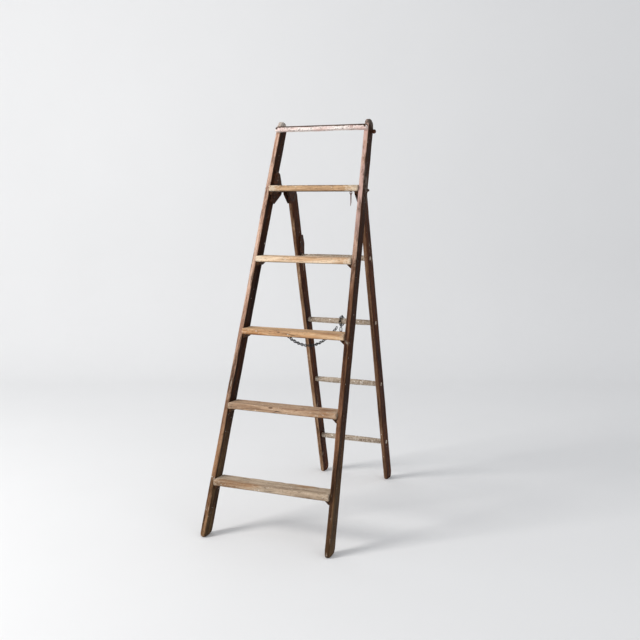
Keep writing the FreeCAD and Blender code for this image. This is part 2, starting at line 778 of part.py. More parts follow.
def make_leg(side_name, side):
    name = "rear_leg_" + side_name
    body = new_body(name + "_body", REAR)
    deep = "dims.leg_deep"
    corners = [
        (0.0, 0.0),
        (deep, "-dims.leg_deep * tan(dims.leg_lean * 1deg)"),
        (deep, "dims.leg_long"),
        (0.0, "dims.leg_long"),
    ]
    sketch = outline(body, name + "_side", "YZ_Plane", corners, side * dim("leg_span") / 2)
    board = pad(body, sketch, "dims.leg_thick", reverse=(side > 0))
    middle = dim("leg_long") / 2
    half = dim("leg_deep") / 2

    def across(edge):
        return runs_along(edge, X_AXIS)

    crown = round_edges(body, board, name + "_crown", "dims.leg_crown",
                        lambda e: across(e) and e.CenterOfMass.z > middle and e.CenterOfMass.y > half)
    toe = round_edges(body, crown, name + "_toe", "dims.foot_round",
                      lambda e: across(e) and e.CenterOfMass.z < middle and e.CenterOfMass.y < half)
    round_edges(body, toe, name + "_heel", "dims.heel_round",
                lambda e: across(e) and e.CenterOfMass.z < middle and e.CenterOfMass.y > half)
    tools = []
    outer = side * dim("leg_span") / 2
    through = dim("leg_thick") + 2 * CLEARANCE
    for number in range(RUNGS):
        w, v = rung_point(number)
        start = rear_point(outer, w, v) + X_AXIS * side
        tools.append(drill(name, start, X_AXIS * -side, dim("rung_tenon"), through))
    start = rear_point(outer, IRON_PIN[0], IRON_PIN[1]) + X_AXIS * side
    tools.append(drill(name, start, X_AXIS * -side, dim("bolt_radius"), through))
    for up in STRAP_SCREWS:
        start = rear_point(side * (dim("leg_span") - dim("leg_thick")) / 2, dim("leg_deep") + CLEARANCE, up)
        tools.append(drill(name, start, REAR_INWARD, SCREW_RADIUS, STRAP_SCREW_LONG))
    return trimmed(body, name, tools)


def make_rung(number):
    """A turned rung, fullest at its middle, with a tenon through each leg."""
    w, v = rung_point(number)
    half = dim("leg_span") / 2
    shoulder = half - dim("leg_thick")
    belly = dim("rung_belly")
    neck = dim("rung_neck")
    tenon = dim("rung_tenon")
    rings = [(tenon, -half), (tenon, -shoulder), (neck, -shoulder), (belly, -shoulder * RUNG_FULL),
             (belly, shoulder * RUNG_FULL), (neck, shoulder), (tenon, shoulder), (tenon, half)]
    return turned("rung_%d_body" % (number + 1), rings, along(rear_point(0, w, v), X_AXIS))


def make_brace(side_name, side):
    """A thin iron plate on the leg's inner face, round the top rung's shoulder."""
    name = "rung_brace_" + side_name
    w, v = rung_point(RUNGS - 1)
    inner = dim("leg_span") / 2 - dim("leg_thick")
    body = new_body(name + "_body", REAR)
    corners = [
        (w - BRACE_HALF, v - BRACE_BOTTOM),
        (w + BRACE_HALF, v - BRACE_BOTTOM),
        (dim("leg_deep") + BRACE_BEHIND, v + BRACE_TOP * BRACE_KNEE),
        (dim("leg_deep") + BRACE_TIP_BEHIND, v + BRACE_TOP),
        (w + BRACE_TIP_AHEAD, v + BRACE_TOP),
        (w - BRACE_HALF, v + BRACE_TOP * BRACE_SHOULDER),
    ]
    sketch = outline(body, name + "_side", "YZ_Plane", corners, side * inner)
    pad(body, sketch, BRACE_THICK, reverse=(side > 0))
    start = rear_point(side * (inner + CLEARANCE), w, v)
    tools = [drill(name, start, X_AXIS * -side, dim("rung_neck") + BRACE_PLAY, 3 * BRACE_THICK)]
    return trimmed(body, name, tools)


# ---------------------------------------------------------------- hook, eyes and chain

def ring_solid(centre, axis, radius, wire):
    return Part.makeTorus(radius, wire, centre, axis)


def eye_shape(seat, axis):
    """A screw eye: a shank up into the wood from its seat and a ring below it."""
    below = EYE_DROP - EYE_RING
    shank = Part.makeCylinder(EYE_WIRE, EYE_SHANK - CLEARANCE + below, seat - Z_AXIS * below)
    ring = ring_solid(seat - Z_AXIS * EYE_DROP, axis, EYE_RING, EYE_WIRE)
    return shank.fuse(ring).removeSplitter()


def shaped(label, shape):
    feature = doc.addObject("Part::Feature", label)
    feature.Shape = shape
    return feature


def hook_pin():
    """The middle of the hook's loop, which the hook swings about."""
    return HOOK_EYE - Z_AXIS * (EYE_DROP + EYE_RING - 2 * EYE_WIRE - HOOK_PLAY + HOOK_LOOP)


def hook_shape():
    """A long tapering prong hanging from a small loop, its tip turned a little forward."""
    loop = ring_solid(hook_pin(), X_AXIS, HOOK_LOOP, EYE_WIRE)
    top = hook_pin() - Z_AXIS * (HOOK_LOOP - HOOK_SINK)
    prong = Part.makeCone(HOOK_THICK, HOOK_WAIST, HOOK_PRONG, top, Z_AXIS * -1)
    elbow = top - Z_AXIS * HOOK_PRONG
    tip = Part.makeCone(HOOK_WAIST, HOOK_POINT, HOOK_TIP, elbow, FreeCAD.Vector(*HOOK_TIP_WAY))
    joint = Part.makeSphere(HOOK_WAIST, elbow)
    return loop.fuse([prong, joint, tip])


def link_solid(middle, way, flat):
    """One oval chain link along a direction; flat links lie in the YZ plane, the others across it."""
    wire = dim("link_wire")
    wide = dim("link_wide")
    reach = dim("link_pitch") / 2 + wire + LINK_SLACK
    bend = reach - wide
    side_way = way.cross(X_AXIS).normalize() if flat else X_AXIS
    pieces = []
    for sign in (-1, 1):
        start = middle + side_way * (sign * wide) - way * bend
        pieces.append(Part.makeCylinder(wire, 2 * bend, start, way))
        centre = middle + way * (sign * bend)
        ahead = centre + way * (sign * wide)
        arc = Part.Arc(centre + side_way * wide, ahead, centre - side_way * wide).toShape()
        profile = Part.Wire(Part.makeCircle(wire, centre + side_way * wide, way))
        pieces.append(Part.Wire(arc).makePipe(Part.Face(profile)))
    return pieces[0].fuse(pieces[1:])


def chain_points():
    """Where each link of the hanging chain meets the next, along a catenary."""
    curve = dim("chain_curve")
    pitch = dim("link_pitch")
    count = STRANDS * LINKS_PER_STRAND
    start_y = CHAIN_EYE.y + CHAIN_START
    first = curve * math.sinh((start_y - FRONT_Y - dim("chain_low_y")) / curve)
    points = []
    for index in range(count + 1):
        run = first + index * pitch
        y = FRONT_Y + dim("chain_low_y") + curve * math.asinh(run / curve)
        z = dim("chain_low_z") + math.hypot(curve, run) - curve
        x = CHAIN_START_X + (CHAIN_END_X - CHAIN_START_X) * index / count
        points.append(FreeCAD.Vector(x, y, z))
    return points


def chain_strand(number, points):
    links = []
    for step in range(LINKS_PER_STRAND):
        index = number * LINKS_PER_STRAND + step
        way = (points[index + 1] - points[index]).normalize()
        middle = (points[index + 1] + points[index]) * 0.5
        links.append(link_solid(middle, way, index % 2 == 1))
    return Part.makeCompound(links)


def chain_loop():
    """The links that go round the rung."""
    w, v = rung_point(CHAIN_RUNG)
    centre = rear_point(CHAIN_END_X + LOOP_ASIDE, w, v)
    step = 360.0 / LOOP_LINKS
    radius = dim("link_pitch") / 2 / tand(step / 2)
    links = []
    for index in range(LOOP_LINKS):
        turn = index * step + LOOP_TURN
        out = FreeCAD.Vector(0, cosd(turn), sind(turn))
        way = FreeCAD.Vector(0, -sind(turn), cosd(turn))
        links.append(link_solid(centre + out * radius, way, index % 2 == 1))
    return Part.makeCompound(links)


def tail_pin():
    """Where the spare links hang from, just below the loop."""
    w, v = rung_point(CHAIN_RUNG)
    return rear_point(CHAIN_END_X + LOOP_ASIDE, w, v) + FreeCAD.Vector(*TAIL_OFFSET)


def chain_tail():
    """Two spare links hanging below the loop."""
    top = tail_pin()
    links = []
    for index in range(TAIL_LINKS):
        middle = top - Z_AXIS * (dim("link_pitch") * (index + 0.5))
        links.append(link_solid(middle, Z_AXIS * -1, index % 2 == 1))
    return Part.makeCompound(links)


# ---------------------------------------------------------------- assembly

for side_name, side in SIDES:
    keep(make_stile(side_name, side), "stile_" + side_name)
keep(top_rail(), "top_rail")
for number in range(TREADS):
    keep(make_tread(number), "tread_%d" % (number + 1))
    for side_name, side in SIDES:
        keep(make_cleat(number, side_name, side), "cleat_%s_%d" % (side_name, number + 1))
keep(make_rail_screws(), "rail_screws")
keep(make_knob(), "rail_knob")
keep(make_rod(), "pivot_rod")
keep(make_pivot_nuts(), "pivot_nuts")
for side_name, side in SIDES:
    keep(make_nails(side_name, side), "tread_nails_" + side_name)
    keep(make_plate(side_name, side), "hinge_plate_" + side_name)
    keep(make_bolts(side_name, side), "hinge_bolts_" + side_name)
    keep(make_sleeve(side_name, side), "pivot_sleeve_" + side_name)
    keep(make_leg(side_name, side), "rear_leg_" + side_name)
    keep(make_leg_iron(side_name, side), "leg_iron_" + side_name)
    keep(make_iron_rivet(side_name, side), "iron_rivet_" + side_name)
    keep(make_strap(side_name, side), "leg_strap_" + side_name)
    keep(make_strap_screws(side_name, side), "strap_screws_" + side_name)
    keep(make_brace(side_name, side), "rung_brace_" + side_name)
for number in range(RUNGS):
    keep(make_rung(number), "rung_%d" % (number + 1))
keep(shaped("hook_eye_shape", eye_shape(HOOK_EYE, Y_AXIS)), "hook_eye")
keep(shaped("hook_shape", hook_shape()), "hook")
keep(shaped("chain_eye_shape", eye_shape(CHAIN_EYE, X_AXIS)), "chain_eye")
chain = chain_points()
for number in range(STRANDS):
    keep(shaped("chain_strand_%d_links" % (number + 1), chain_strand(number, chain)),
         "chain_strand_%d" % (number + 1))
keep(shaped("chain_loop_links", chain_loop()), "chain_loop")
keep(shaped("chain_tail_links", chain_tail()), "chain_tail")

doc.recompute()
for obj in doc.Objects:
    if "Invalid" in obj.State or "Error" in obj.State:
        raise ValueError("%s: %s" % (obj.Label, obj.State))
for obj in parts:
    if obj.Shape.isNull() or not obj.Shape.isValid():
        raise ValueError("bad shape: " + obj.Label)

os.makedirs("parts", exist_ok=True)
whole = Part.makeCompound([obj.Shape for obj in parts])
for obj in parts:
    obj.Shape.exportStep("parts/%s.step" % obj.Label)
    box = obj.Shape.BoundBox
    print("%-18s solids %2d volume %10.0f  z %.1f..%.1f" % (
        obj.Label, len(obj.Shape.Solids), obj.Shape.Volume, box.ZMin, box.ZMax))
print("whole", whole.BoundBox, len(parts))
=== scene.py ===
import bpy
import json
import math
import random
import numpy as np
from mathutils import Matrix, Vector, noise


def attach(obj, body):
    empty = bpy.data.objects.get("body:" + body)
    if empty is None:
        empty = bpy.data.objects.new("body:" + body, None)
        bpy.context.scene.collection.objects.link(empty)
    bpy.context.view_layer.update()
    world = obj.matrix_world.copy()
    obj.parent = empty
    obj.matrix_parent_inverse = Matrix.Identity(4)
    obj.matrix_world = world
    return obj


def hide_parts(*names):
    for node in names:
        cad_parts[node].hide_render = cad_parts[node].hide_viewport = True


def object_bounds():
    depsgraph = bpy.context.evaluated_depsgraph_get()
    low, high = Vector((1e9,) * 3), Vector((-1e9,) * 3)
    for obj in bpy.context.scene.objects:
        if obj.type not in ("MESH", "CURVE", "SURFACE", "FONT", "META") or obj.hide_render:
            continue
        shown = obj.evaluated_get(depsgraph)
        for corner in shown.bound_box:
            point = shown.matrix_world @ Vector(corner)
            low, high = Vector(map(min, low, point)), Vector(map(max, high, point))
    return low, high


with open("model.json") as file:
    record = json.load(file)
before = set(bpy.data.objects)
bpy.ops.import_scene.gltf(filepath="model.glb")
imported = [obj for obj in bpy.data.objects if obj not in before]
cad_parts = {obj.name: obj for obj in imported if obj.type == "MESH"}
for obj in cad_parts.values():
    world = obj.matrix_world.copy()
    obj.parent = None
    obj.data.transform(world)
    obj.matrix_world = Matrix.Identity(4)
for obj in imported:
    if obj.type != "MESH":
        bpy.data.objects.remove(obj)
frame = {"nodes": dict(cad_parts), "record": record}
cad_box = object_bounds()
NODES = frame["nodes"]
RECORD = frame["record"]
BODY_OF = {node: body for body, members in RECORD["behaviour"]["bodies"].items() for node in members}

# The ladder's own angles, in degrees: how far each frame leans and how far each stile closes in.
FRONT_LEAN = 19.87
STILE_SPLAY = 2.245
REAR_LEAN = 15.47

TREADS = 5
RUNGS = 4
BOARD_VOXEL = 0.0022             # mesh size of the stiles and legs
LINK_SIDES = 14                  # sides of a chain link's wire

FRONT_TURN = Matrix.Rotation(math.radians(-FRONT_LEAN), 4, "X")
REAR_TURN = Matrix.Rotation(math.radians(REAR_LEAN), 4, "X")
SQUARE_TURN = Matrix.Identity(4)


def stile_turn(side):
    return FRONT_TURN @ Matrix.Rotation(math.radians(-side * STILE_SPLAY), 4, "Y")


# ---------------------------------------------------------------- meshes worn from the CAD solids

def mesh_arrays(mesh):
    """A mesh's vertex places and edges as arrays."""
    places = np.zeros(len(mesh.vertices) * 3)
    mesh.vertices.foreach_get("co", places)
    edges = np.zeros(len(mesh.edges) * 2, np.int64)
    mesh.edges.foreach_get("vertices", edges)
    return places.reshape(-1, 3), edges.reshape(-1, 2)


def smoothed(places, edges, rounds):
    """The places after that many rounds of moving each halfway to its neighbours' mean."""
    count = np.bincount(edges.ravel(), minlength=len(places)).astype(float)
    count = np.maximum(count, 1)[:, None]
    result = places.copy()
    for _ in range(rounds):
        total = np.zeros_like(result)
        for axis in range(3):
            total[:, axis] += np.bincount(edges[:, 0], result[edges[:, 1], axis], len(places))
            total[:, axis] += np.bincount(edges[:, 1], result[edges[:, 0], axis], len(places))
        result += 0.5 * (total / count - result)
    return result


def noise_field(places, scale, seed, stretch=(1, 1, 1), detail=2):
    """Smooth noise at each place, about -1 to 1. Scale is features per metre."""
    shift = Vector((seed * 3.71, seed * 1.37, seed * 2.11))
    values = np.empty(len(places))
    grid = places * (scale * np.array(stretch))
    for index, point in enumerate(grid):
        values[index] = noise.fractal(Vector(point) + shift, 0.8, 2.0, detail)
    return values


def store(mesh, name, values):
    attribute = mesh.attributes.new(name, "FLOAT", "POINT")
    attribute.data.foreach_set("value", values.astype(np.float32))


def local_copy(node, turn):
    """A mesh of the CAD node in axes turned with it, about the middle of its box, and its matrix."""
    mesh = NODES[node].data.copy()
    mesh.materials.clear()
    mesh.transform(turn.inverted())
    places, _ = mesh_arrays(mesh)
    middle = Vector((places.min(0) + places.max(0)) / 2)
    mesh.transform(Matrix.Translation(-middle))
    return mesh, turn @ Matrix.Translation(middle)


def remeshed(obj, voxel):
    modifier = obj.modifiers.new("remesh", "REMESH")
    modifier.mode = "VOXEL"
    modifier.voxel_size = voxel
    modifier.use_smooth_shade = True
    depsgraph = bpy.context.evaluated_depsgraph_get()
    mesh = bpy.data.meshes.new_from_object(obj.evaluated_get(depsgraph))
    obj.modifiers.clear()
    obj.data = mesh
    return mesh


def worn_piece(node, turn, voxel, wear, seed, grain=0.0, grain_axis=2, nicks=0, nick_size=0.004):
    """A finely meshed copy of a CAD node whose edges are worn unevenly round, with nicks and raised grain.

    wear is the rounds of smoothing that the most worn edges get, and grain the height of its ridges
    in metres."""
    mesh, matrix = local_copy(node, turn)
    obj = bpy.data.objects.new("worn_" + node, mesh)
    bpy.context.scene.collection.objects.link(obj)
    mesh = remeshed(obj, voxel)
    places, edges = mesh_arrays(mesh)
    places = smoothed(places, edges, 1)
    soft = smoothed(places, edges, wear)
    gap = np.linalg.norm(soft - places, axis=1)
    edge = np.clip(gap / (voxel * 1.1), 0, 1)
    stretch = [1.0, 1.0, 1.0]
    stretch[grain_axis] = 0.35
    share = 0.5 + 0.75 * noise_field(places, 28, seed, stretch)
    share = np.clip(share, 0.06, 1.0)[:, None]
    worn = places + (soft - places) * share
    inward = soft - places
    inward /= np.maximum(np.linalg.norm(inward, axis=1), 1e-9)[:, None]
    dice = random.Random(seed)
    candidates = np.nonzero(edge > 0.6)[0]
    for _ in range(nicks if len(candidates) else 0):
        centre = worn[candidates[dice.randrange(len(candidates))]]
        reach = nick_size * dice.uniform(0.4, 1.4)
        offset = worn - centre
        offset[:, grain_axis] *= dice.uniform(0.3, 0.8)
        near = np.exp(-np.einsum("ij,ij->i", offset, offset) / (reach * reach))
        depth = reach * dice.uniform(0.15, 0.4)
        worn += inward * (near * depth * edge)[:, None]
    if grain:
        normals = np.zeros(len(mesh.vertices) * 3)
        mesh.vertices.foreach_set("co", worn.ravel())
        mesh.update()
        mesh.vertices.foreach_get("normal", normals)
        normals = normals.reshape(-1, 3)
        along = [260.0, 260.0, 260.0]
        along[grain_axis] = 9.0
        ridges = noise_field(worn, 1.0, seed + 5, along, 1)
        bowing = noise_field(worn, 6.0, seed + 9, (1, 1, 1), 1)
        worn += normals * (-grain * (0.6 + 0.5 * ridges) - 0.5 * grain * (1 + bowing))[:, None]
    mesh.vertices.foreach_set("co", worn.ravel())
    store(mesh, "edge_wear", edge * share[:, 0])
    mesh.update()
    for polygon in mesh.polygons:
        polygon.use_smooth = True
    obj.matrix_world = matrix
    finish_piece(obj, node)
    return obj


def finish_piece(obj, *nodes):
    """Hang a piece that stands for these nodes on their body and hide the nodes."""
    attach(obj, BODY_OF[nodes[0]])
    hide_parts(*nodes)


# ---------------------------------------------------------------- materials

def material(name):
    """A node material: returns it, its tree and its Principled shader."""
    made = bpy.data.materials.new(name)
    made.use_nodes = True
    tree = made.node_tree
    shader = tree.nodes["Principled BSDF"]
    return made, tree, shader


class Shade:
    """Short calls that add nodes to one material's tree."""

    def __init__(self, tree):
        self.tree = tree
        self.coords = tree.nodes.new("ShaderNodeTexCoord")

    def link(self, source, target):
        self.tree.links.new(source, target)

    def feed(self, socket, value):
        if hasattr(value, "is_output"):
            self.link(value, socket)
        elif isinstance(value, tuple) and len(value) == 3 and socket.type == "RGBA":
            socket.default_value = (*value, 1.0)
        else:
            socket.default_value = value

    def stretched(self, scale, shift=(0, 0, 0)):
        node = self.tree.nodes.new("ShaderNodeMapping")
        self.link(self.coords.outputs["Object"], node.inputs["Vector"])
        node.inputs["Scale"].default_value = scale
        node.inputs["Location"].default_value = shift
        return node.outputs["Vector"]

    def noise(self, vector, scale, detail=4.0, rough=0.55, distortion=0.0):
        node = self.tree.nodes.new("ShaderNodeTexNoise")
        self.link(vector, node.inputs["Vector"])
        node.inputs["Scale"].default_value = scale
        node.inputs["Detail"].default_value = detail
        node.inputs["Roughness"].default_value = rough
        node.inputs["Distortion"].default_value = distortion
        return node.outputs["Fac"]

    def rings(self, vector, scale, axis):
        """Annual rings round the grain's own axis: 1 on the dark late wood."""
        node = self.tree.nodes.new("ShaderNodeTexWave")
        node.wave_type = "RINGS"
        node.rings_direction = "XYZ"[axis]
        self.link(vector, node.inputs["Vector"])
        node.inputs["Scale"].default_value = scale
        node.inputs["Distortion"].default_value = 5.0
        node.inputs["Detail"].default_value = 3.0
        node.inputs["Detail Scale"].default_value = 0.35
        return node.outputs["Fac"]

    def ragged(self, value):
        """A mask's value broken up along the fibres, so that its edge follows the grain."""
        return self.math("ADD", value, self.math("MULTIPLY", self.math("SUBTRACT", self.fibres, 0.5), 0.09))

    def cells(self, vector, scale, output="Distance"):
        node = self.tree.nodes.new("ShaderNodeTexVoronoi")
        self.link(vector, node.inputs["Vector"])
        node.inputs["Scale"].default_value = scale
        return node.outputs[output]

    def math(self, operation, first, second=0.0, clamp=False):
        node = self.tree.nodes.new("ShaderNodeMath")
        node.operation = operation
        node.use_clamp = clamp
        self.feed(node.inputs[0], first)
        self.feed(node.inputs[1], second)
        return node.outputs[0]

    def step(self, value, low, high, to_low=0.0, to_high=1.0):
        node = self.tree.nodes.new("ShaderNodeMapRange")
        node.interpolation_type = "SMOOTHSTEP"
        self.feed(node.inputs["Value"], value)
        node.inputs["From Min"].default_value = low
        node.inputs["From Max"].default_value = high
        node.inputs["To Min"].default_value = to_low
        node.inputs["To Max"].default_value = to_high
        return node.outputs["Result"]

    def ramp(self, value, stops):
        node = self.tree.nodes.new("ShaderNodeValToRGB")
        self.link(value, node.inputs["Fac"])
        elements = node.color_ramp.elements
        while len(elements) < len(stops):
            elements.new(0.5)
        for element, (place, colour) in zip(elements, stops):
            element.position = place
            element.color = (*colour, 1.0)
        return node.outputs["Color"]

    def mix(self, factor, first, second, blend="MIX"):
        node = self.tree.nodes.new("ShaderNodeMix")
        node.data_type = "RGBA"
        node.blend_type = blend
        self.feed(node.inputs["Factor"], factor)
        self.feed(node.inputs[6], first)
        self.feed(node.inputs[7], second)
        return node.outputs[2]

    def attribute(self, name):
        node = self.tree.nodes.new("ShaderNodeAttribute")
        node.attribute_name = name
        return node.outputs["Fac"]

    def axis(self, which):
        """One object coordinate, in metres from the piece's middle."""
        node = self.tree.nodes.new("ShaderNodeSeparateXYZ")
        self.link(self.coords.outputs["Object"], node.inputs[0])
        return node.outputs[which]

    def facing(self, which):
        """One part of the object-space normal."""
        node = self.tree.nodes.new("ShaderNodeSeparateXYZ")
        self.link(self.coords.outputs["Normal"], node.inputs[0])
        return node.outputs[which]

    def bump(self, height, strength, distance, below=None):
        node = self.tree.nodes.new("ShaderNodeBump")
        node.inputs["Strength"].default_value = strength
        node.inputs["Distance"].default_value = distance
        self.link(height, node.inputs["Height"])
        if below is not None:
            self.link(below, node.inputs["Normal"])
        return node.outputs["Normal"]


def grain_scale(axis, across, along):
    scale = [across, across, across]
    scale[axis] = along
    return tuple(scale)


def linear(red, green, blue):
    """A colour given as it looks on a screen, 0 to 255, as linear light."""
    result = []
    for value in (red, green, blue):
        value /= 255.0
        result.append(value / 12.92 if value <= 0.04045 else ((value + 0.055) / 1.055) ** 2.4)
    return tuple(result)


def wood(name, axis, dark, mid, light, seed, stain=None, stain_share=0.5):
    """Old softwood: annual rings cut through, fibres, checks, grime and blotches of stain.

    Returns the material, the helper, the shader, its colour so far and its bump height."""
    made, tree, shader = material(name)
    shade = Shade(tree)
    shift = (seed * 1.7, seed * 0.9, seed * 2.3)
    pith = [0.031 + 0.007 * (seed % 5), 0.052 - 0.009 * (seed % 3), 0.044]
    pith[axis] = seed * 0.31
    rings = shade.rings(shade.stretched(grain_scale(axis, 1.0, 0.05), tuple(pith)), 74, axis)
    fibres = shade.noise(shade.stretched(grain_scale(axis, 1.0, 0.03), shift), 760, 6, 0.7)
    shade.fibres = shade.step(fibres, 0.34, 0.66)
    streaks = shade.noise(shade.stretched(grain_scale(axis, 1.0, 0.045), shift), 110, 5, 0.62, 0.3)
    streaks = shade.step(streaks, 0.34, 0.66)
    late = shade.step(rings, 0.55, 0.97)
    figure = shade.math("MULTIPLY", streaks, 0.44)
    figure = shade.math("ADD", figure, shade.math("MULTIPLY", shade.fibres, 0.32))
    figure = shade.math("ADD", figure, shade.math("MULTIPLY", shade.math("SUBTRACT", 1.0, late), 0.24))
    colour = shade.ramp(figure, ((0.16, dark), (0.5, mid), (0.86, light)))
    blotch = shade.noise(shade.stretched(grain_scale(axis, 1.0, 0.22), shift), 11, 5, 0.62, 0.6)
    if stain is not None:
        blotch = shade.ragged(blotch)
        colour = shade.mix(shade.step(blotch, 0.62 - 0.2 * stain_share, 0.72 - 0.2 * stain_share), colour,
                           shade.mix(1.0, colour, stain, "MULTIPLY"))
    checks = shade.noise(shade.stretched(grain_scale(axis, 1.0, 0.018), shift), 75, 2, 0.4)
    where = shade.noise(shade.stretched(grain_scale(axis, 1.0, 0.3), shift), 30, 2)
    crack = shade.step(shade.math("ABSOLUTE", shade.math("SUBTRACT", checks, 0.5)), 0.007, 0.002)
    shade.crack = shade.math("MULTIPLY", crack, shade.step(where, 0.5, 0.58))
    grime = shade.noise(shade.stretched(grain_scale(axis, 1.0, 0.45), shift), 190, 9, 0.72)
    shade.grime = shade.step(grime, 0.53, 0.64)
    return made, shade, shader, colour, figure


def paint_spots(shade, axis, seed, scale, share, size=0.35):
    """A mask of small splashes of paint: round cells, only some of which are splashed."""
    warp = shade.tree.nodes.new("ShaderNodeTexNoise")
    shade.link(shade.stretched((1, 1, 1), (seed, 0, 0)), warp.inputs["Vector"])
    warp.inputs["Scale"].default_value = 3.2 * scale
    warp.inputs["Detail"].default_value = 5.0
    moved = shade.tree.nodes.new("ShaderNodeVectorMath")
    moved.operation = "ADD"
    spread = shade.tree.nodes.new("ShaderNodeVectorMath")
    spread.operation = "SCALE"
    shade.link(warp.outputs["Color"], spread.inputs[0])
    spread.inputs["Scale"].default_value = 0.75 / scale
    shade.link(shade.stretched(grain_scale(axis, 1.0, 0.8), (seed, seed, seed)), moved.inputs[0])
    shade.link(spread.outputs[0], moved.inputs[1])
    distance = shade.cells(moved.outputs[0], scale)
    pick = shade.cells(moved.outputs[0], scale, "Color")
    parts = shade.tree.nodes.new("ShaderNodeSeparateColor")
    shade.link(pick, parts.inputs[0])
    chosen = shade.step(parts.outputs[0], 1.0 - share - 0.01, 1.0 - share + 0.01)
    radius = shade.math("MULTIPLY", parts.outputs[1], size)
    inside = shade.step(shade.math("SUBTRACT", radius, distance), -0.02, 0.03)
    return shade.math("MULTIPLY", chosen, inside)


def paint_flecks(shade, axis, seed, scale, low, spread=0.5):
    """A mask of sparse, ragged flecks of paint, gathered in some places and absent in others."""
    speckle = shade.noise(shade.stretched(grain_scale(axis, 1.0, 0.55), (seed, 5, seed)), scale, 7, 0.78, 0.6)
    place = shade.noise(shade.stretched(grain_scale(axis, 1.0, 0.4), (2, seed, seed)), scale / 12, 3)
    gathered = shade.step(place, spread - 0.05, spread + 0.08)
    return shade.math("MULTIPLY", shade.step(speckle, low, low + 0.025), gathered)


def paint_patches(shade, axis, seed, scale, low, high, stretch=0.3):
    """A mask of broken, rubbed paint that follows the grain."""
    broad = shade.noise(shade.stretched(grain_scale(axis, 1.0, stretch), (seed, 3, seed)), scale, 6, 0.7, 0.4)
    return shade.step(shade.ragged(broad), low, high)


def finish_wood(shade, shader, colour, height, rough=(0.55, 0.85), strength=0.5, paint=()):
    """Lay grime and coats of paint over the wood and drive colour, roughness and bump."""
    grimy = shade.math("MULTIPLY", shade.grime, 0.55)
    colour = shade.mix(grimy, colour, shade.mix(1.0, colour, GRIME, "MULTIPLY"))
    colour = shade.mix(shade.math("MULTIPLY", shade.crack, 0.85), colour, linear(24, 14, 9))
    height = shade.math("SUBTRACT", height, shade.math("MULTIPLY", shade.crack, 0.9))
    total = None
    for mask, tint in paint:
        colour = shade.mix(mask, colour, tint)
        total = mask if total is None else shade.math("MAXIMUM", total, mask)
    shade.link(colour, shader.inputs["Base Color"])
    roughness = shade.step(height, 0.2, 0.8, rough[0], rough[1])
    if total is not None:
        lift = shade.math("MULTIPLY", total, 0.35)
        height = shade.math("ADD", height, lift)
    shade.link(roughness, shader.inputs["Roughness"])
    shade.link(shade.bump(height, strength, 0.0014), shader.inputs["Normal"])
    shader.inputs["Specular IOR Level"].default_value = 0.07


WHITE_PAINT = linear(232, 226, 215)
GRIME = linear(118, 92, 74)
PINK_PAINT = linear(205, 170, 160)


